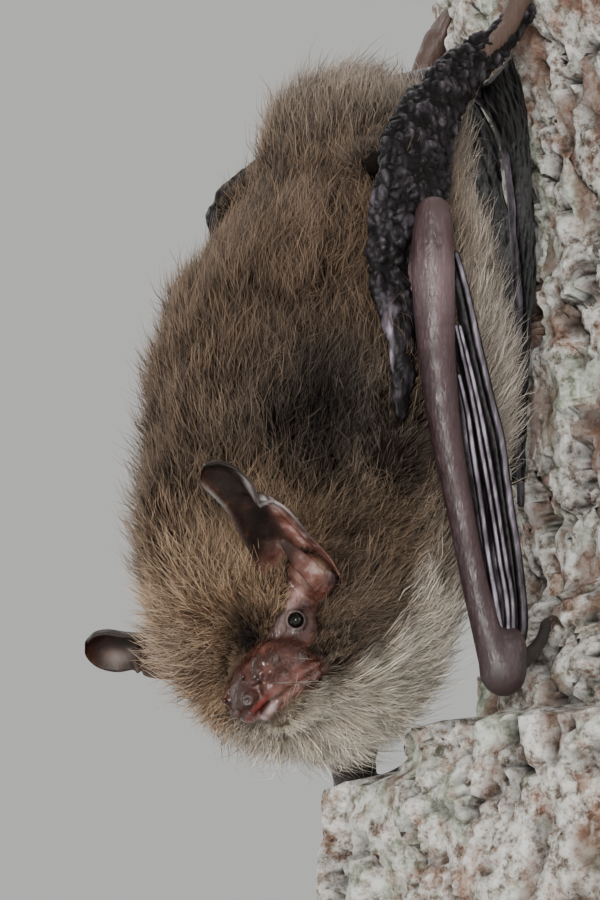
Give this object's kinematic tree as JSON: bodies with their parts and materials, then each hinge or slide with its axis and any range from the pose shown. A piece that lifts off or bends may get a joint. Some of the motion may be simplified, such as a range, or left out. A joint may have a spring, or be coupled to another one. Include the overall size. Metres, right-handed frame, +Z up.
{
  "type": "brown bat museum model",
  "caption": "Life-size still model of a brown bat roosting head down on a cut length of trunk, held by a round base and two short rods.",
  "frame": {"origin": "middle of the flat underside of the display stand's base", "axes": "+Z up along the trunk; the trunk is on the +X side and the bat on its -X face, its back towards -X, its left side towards -Y and its head down"},
  "size_m": [0.1076, 0.104, 0.114],
  "materials": {
    "coat": "soft dense fur, mid brown with golden tips, pale buff below",
    "bare_face": "bare reddish-brown muzzle skin, slightly moist",
    "ear_skin": "thin dark brown ear skin, pinker inside the base",
    "wing_skin": "fine-wrinkled dark brown to black wing and tail skin",
    "limb_skin": "bare mauve-brown skin over the arm and leg bones",
    "eye": "polished black",
    "bark": "rough plated bark with grey-white and pale green lichen",
    "stand_wood": "turned and satin-varnished dark wood",
    "stand_steel": "brushed rod"
  },
  "bodies": {
    "root": {"ear_left": "ear_skin", "ear_right": "ear_skin", "eye_left": "eye", "eye_right": "eye", "fingers_left": "wing_skin", "fingers_right": "wing_skin", "foot_left": "limb_skin", "foot_right": "limb_skin", "forearm_left": "limb_skin", "forearm_right": "limb_skin", "head": "coat", "jaw": "bare_face", "muzzle": "bare_face", "neck": "coat", "perch_trunk": "bark", "shin_left": "limb_skin", "shin_right": "limb_skin", "stand_base": "stand_wood", "stand_rod_a": "stand_steel", "stand_rod_b": "stand_steel", "tail": "wing_skin", "tail_skin_left": "wing_skin", "tail_skin_right": "wing_skin", "thigh_left": "limb_skin", "thigh_right": "limb_skin", "thumb_left": "wing_skin", "thumb_right": "wing_skin", "tragus_left": "ear_skin", "tragus_right": "ear_skin", "trunk": "coat", "upper_arm_left": "limb_skin", "upper_arm_right": "limb_skin", "wing_skin_left": "wing_skin", "wing_skin_right": "wing_skin", "wrist_left": "limb_skin", "wrist_right": "limb_skin"}
  },
  "joints": []
}
